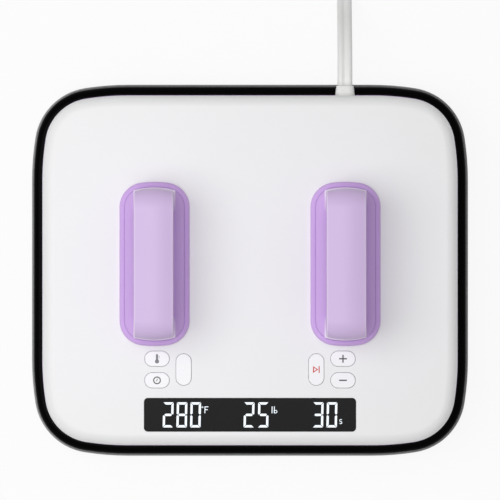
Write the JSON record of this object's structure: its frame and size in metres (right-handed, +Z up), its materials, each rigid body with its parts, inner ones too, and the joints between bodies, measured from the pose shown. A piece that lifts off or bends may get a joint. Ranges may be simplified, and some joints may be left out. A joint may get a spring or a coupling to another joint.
{
  "type": "handheld heat press",
  "caption": "Low rounded rectangular heat press with a digital display, pill-shaped buttons and bridge handles, resting in a shallow insulated stand, with a flat mains cord",
  "frame": {"origin": "middle of the stand at the table, under its feet", "axes": "+X along the long side to the right of the display, +Y from the display to the cord, +Z up"},
  "size_m": [0.3406, 0.5384, 0.122],
  "materials": {
    "stand_plastic": "fine matt",
    "stand_sheet": "woven, heat resistant",
    "silicone": "matt",
    "plate_coating": "satin non-stick coating",
    "bare_steel": "satin",
    "zinc_steel": "zinc plated",
    "bare_aluminium": "rolled",
    "mineral_wool": "fibrous",
    "black_gloss": "gloss",
    "white_gloss": "gloss",
    "key_white": "satin gloss",
    "lavender": "satin",
    "lavender_soft": "soft touch",
    "display_black": "gloss",
    "dark_plastic": "matt",
    "board": "solder mask",
    "ceramic": "glazed",
    "relay_blue": "matt",
    "cord_white": "smooth vinyl",
    "lead_sleeve": "glass sleeve",
    "brass": "bare",
    "tie_black": "matt"
  },
  "bodies": {
    "stand": {"stand_tray": "stand_plastic", "stand_feet": "silicone", "stand_liner": "stand_sheet", "stand_rests": "silicone", "cord": "cord_white", "cord_coil": "cord_white", "coil_ties": "tie_black", "plug_body": "cord_white", "plug_blades": "brass"},
    "press": {"heat_plate": "plate_coating", "heating_element": "bare_steel", "element_terminals": "bare_steel", "plate_insulation": "mineral_wool", "heat_shield": "bare_aluminium", "plate_posts": "ceramic", "load_cells": "bare_aluminium", "plate_screws": "zinc_steel", "temperature_sensor": "ceramic", "thermal_cutoff": "ceramic", "lower_housing": "black_gloss", "accent_ring": "lavender", "top_cover": "white_gloss", "cover_screws": "zinc_steel", "key_switches": "dark_plastic", "display_window": "display_black", "display_module": "dark_plastic", "control_board": "board", "control_board_screws": "zinc_steel", "buzzer": "dark_plastic", "power_board": "board", "power_board_screws": "zinc_steel", "transformer": "dark_plastic", "relay": "relay_blue", "triac_heatsink": "bare_aluminium", "fuse": "ceramic", "capacitor": "relay_blue", "terminal_block": "dark_plastic", "ribbon_cable": "lead_sleeve", "mains_leads": "lead_sleeve", "heater_leads": "lead_sleeve", "sensor_leads": "lead_sleeve", "handle_screws": "zinc_steel", "strain_relief": "cord_white", "left_handle_collar": "lavender", "left_handle_pedestal": "lavender", "left_handle_grip": "lavender", "left_handle_pad": "lavender_soft", "left_handle_brace": "bare_steel", "right_handle_collar": "lavender", "right_handle_pedestal": "lavender", "right_handle_grip": "lavender", "right_handle_pad": "lavender_soft", "right_handle_brace": "bare_steel"},
    "temperature": {"temperature_button": "key_white"},
    "timer": {"timer_button": "key_white"},
    "plus": {"plus_button": "key_white"},
    "minus": {"minus_button": "key_white"},
    "power": {"power_button": "key_white"},
    "mode": {"mode_button": "key_white"}
  },
  "joints": [
    {"name": "press_lift", "type": "slide", "parent": "stand", "child": "press", "axis": [0, 0, 1], "range_m": [0, 0.07], "deforming": ["cord"]},
    {"name": "temperature_press", "type": "slide", "parent": "press", "child": "temperature", "axis": [0, 0, -1], "range_m": [0, 0.0008], "stiffness_N_per_m": 1200, "springref_m": -0.0004},
    {"name": "timer_press", "type": "slide", "parent": "press", "child": "timer", "axis": [0, 0, -1], "range_m": [0, 0.0008], "stiffness_N_per_m": 1200, "springref_m": -0.0004},
    {"name": "plus_press", "type": "slide", "parent": "press", "child": "plus", "axis": [0, 0, -1], "range_m": [0, 0.0008], "stiffness_N_per_m": 1200, "springref_m": -0.0004},
    {"name": "minus_press", "type": "slide", "parent": "press", "child": "minus", "axis": [0, 0, -1], "range_m": [0, 0.0008], "stiffness_N_per_m": 1200, "springref_m": -0.0004},
    {"name": "power_press", "type": "slide", "parent": "press", "child": "power", "axis": [0, 0, -1], "range_m": [0, 0.0008], "stiffness_N_per_m": 1200, "springref_m": -0.0004},
    {"name": "mode_press", "type": "slide", "parent": "press", "child": "mode", "axis": [0, 0, -1], "range_m": [0, 0.0008], "stiffness_N_per_m": 1200, "springref_m": -0.0004}
  ]
}
